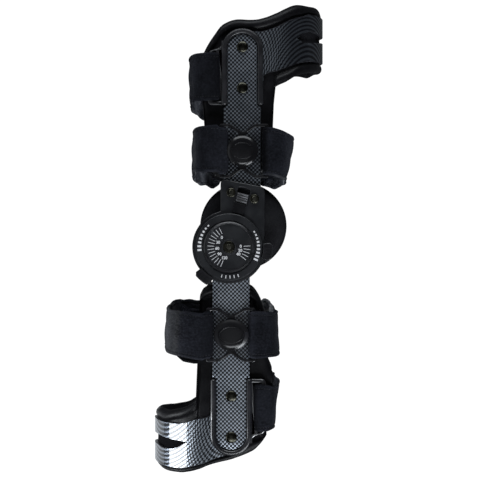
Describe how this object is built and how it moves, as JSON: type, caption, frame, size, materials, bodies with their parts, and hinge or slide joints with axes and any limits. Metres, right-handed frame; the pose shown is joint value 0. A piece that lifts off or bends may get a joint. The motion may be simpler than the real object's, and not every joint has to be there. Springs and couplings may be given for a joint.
{
  "type": "hinged knee brace",
  "caption": "Post-operative knee brace with side hinges that limit bending, thigh and calf shells on padded liners, flat side bars and wide straps; lies on its inner side.",
  "frame": {"origin": "on the knee axis, at the outer face of the inner hinge, which lies on the table", "axes": "+X to the front of the leg, +Y up the leg towards the thigh, +Z to the leg's outer side and up from the table"},
  "size_m": [0.1575, 0.4275, 0.152],
  "materials": {
    "woven_film": "glossy woven-pattern film on shell and bar",
    "black_plastic": "moulded satin black",
    "hinge_plastic": "moulded satin black with white print",
    "dark_metal": "blackened steel",
    "plate_metal": "plain steel",
    "strap_cloth": "brushed loop webbing",
    "liner_foam": "cloth-faced foam"
  },
  "bodies": {
    "upper_frame": {"thigh_bar_outer": "woven_film", "thigh_holder_outer": "black_plastic", "thigh_rivet_end_outer": "dark_metal", "thigh_rivet_shoulder_outer": "dark_metal", "thigh_yoke_outer": "black_plastic", "thigh_button_outer": "black_plastic", "condyle_pad_outer": "liner_foam", "hinge_plate_outer": "plate_metal", "hinge_cover_outer": "hinge_plastic", "hinge_dial_outer": "hinge_plastic", "pivot_bolt_outer": "dark_metal", "neck_screw_back_outer": "dark_metal", "neck_screw_front_outer": "dark_metal", "thigh_bar_inner": "woven_film", "thigh_holder_inner": "black_plastic", "thigh_rivet_end_inner": "dark_metal", "thigh_rivet_shoulder_inner": "dark_metal", "thigh_yoke_inner": "black_plastic", "thigh_button_inner": "black_plastic", "condyle_pad_inner": "liner_foam", "hinge_plate_inner": "plate_metal", "hinge_cover_inner": "hinge_plastic", "hinge_dial_inner": "hinge_plastic", "pivot_bolt_inner": "dark_metal", "neck_screw_back_inner": "dark_metal", "neck_screw_front_inner": "dark_metal", "thigh_shell": "woven_film", "thigh_liner": "liner_foam", "thigh_strap_upper": "strap_cloth", "thigh_strap_back": "strap_cloth", "thigh_strap_front": "strap_cloth"},
    "lower_frame": {"calf_bar_outer": "woven_film", "calf_holder_outer": "black_plastic", "calf_rivet_end_outer": "dark_metal", "calf_rivet_shoulder_outer": "dark_metal", "calf_yoke_outer": "black_plastic", "calf_button_outer": "black_plastic", "calf_bar_inner": "woven_film", "calf_holder_inner": "black_plastic", "calf_rivet_end_inner": "dark_metal", "calf_rivet_shoulder_inner": "dark_metal", "calf_yoke_inner": "black_plastic", "calf_button_inner": "black_plastic", "calf_shell": "woven_film", "calf_liner": "liner_foam", "calf_strap_back": "strap_cloth", "calf_strap_front": "strap_cloth", "calf_strap_lower": "strap_cloth"},
    "lock_outer": {"lock_slide_outer": "hinge_plastic"},
    "flexion_stop_outer": {"flexion_stop_outer": "hinge_plastic"},
    "extension_stop_outer": {"extension_stop_outer": "hinge_plastic"},
    "lock_inner": {"lock_slide_inner": "hinge_plastic"},
    "flexion_stop_inner": {"flexion_stop_inner": "hinge_plastic"},
    "extension_stop_inner": {"extension_stop_inner": "hinge_plastic"}
  },
  "joints": [
    {"name": "knee_flexion", "type": "hinge", "parent": "upper_frame", "child": "lower_frame", "pos_m": [0, 0, 0.076], "axis": [0, 0, -1], "range_deg": [0, 100]},
    {"name": "lock_slide_outer", "type": "slide", "parent": "upper_frame", "child": "lock_outer", "axis": [0.2588, 0.9659, 0], "range_m": [0, 0.004]},
    {"name": "flexion_set_outer", "type": "hinge", "parent": "upper_frame", "child": "flexion_stop_outer", "pos_m": [0, 0, 0.149], "axis": [0, 0, 1], "range_deg": [-110, 20]},
    {"name": "extension_set_outer", "type": "hinge", "parent": "upper_frame", "child": "extension_stop_outer", "pos_m": [0, 0, 0.149], "axis": [0, 0, -1], "range_deg": [-10, 30]},
    {"name": "lock_slide_inner", "type": "slide", "parent": "upper_frame", "child": "lock_inner", "axis": [0.2588, 0.9659, 0], "range_m": [0, 0.004]},
    {"name": "flexion_set_inner", "type": "hinge", "parent": "upper_frame", "child": "flexion_stop_inner", "pos_m": [0, 0, 0.003], "axis": [0, 0, 1], "range_deg": [-110, 20]},
    {"name": "extension_set_inner", "type": "hinge", "parent": "upper_frame", "child": "extension_stop_inner", "pos_m": [0, 0, 0.003], "axis": [0, 0, -1], "range_deg": [-10, 30]}
  ]
}
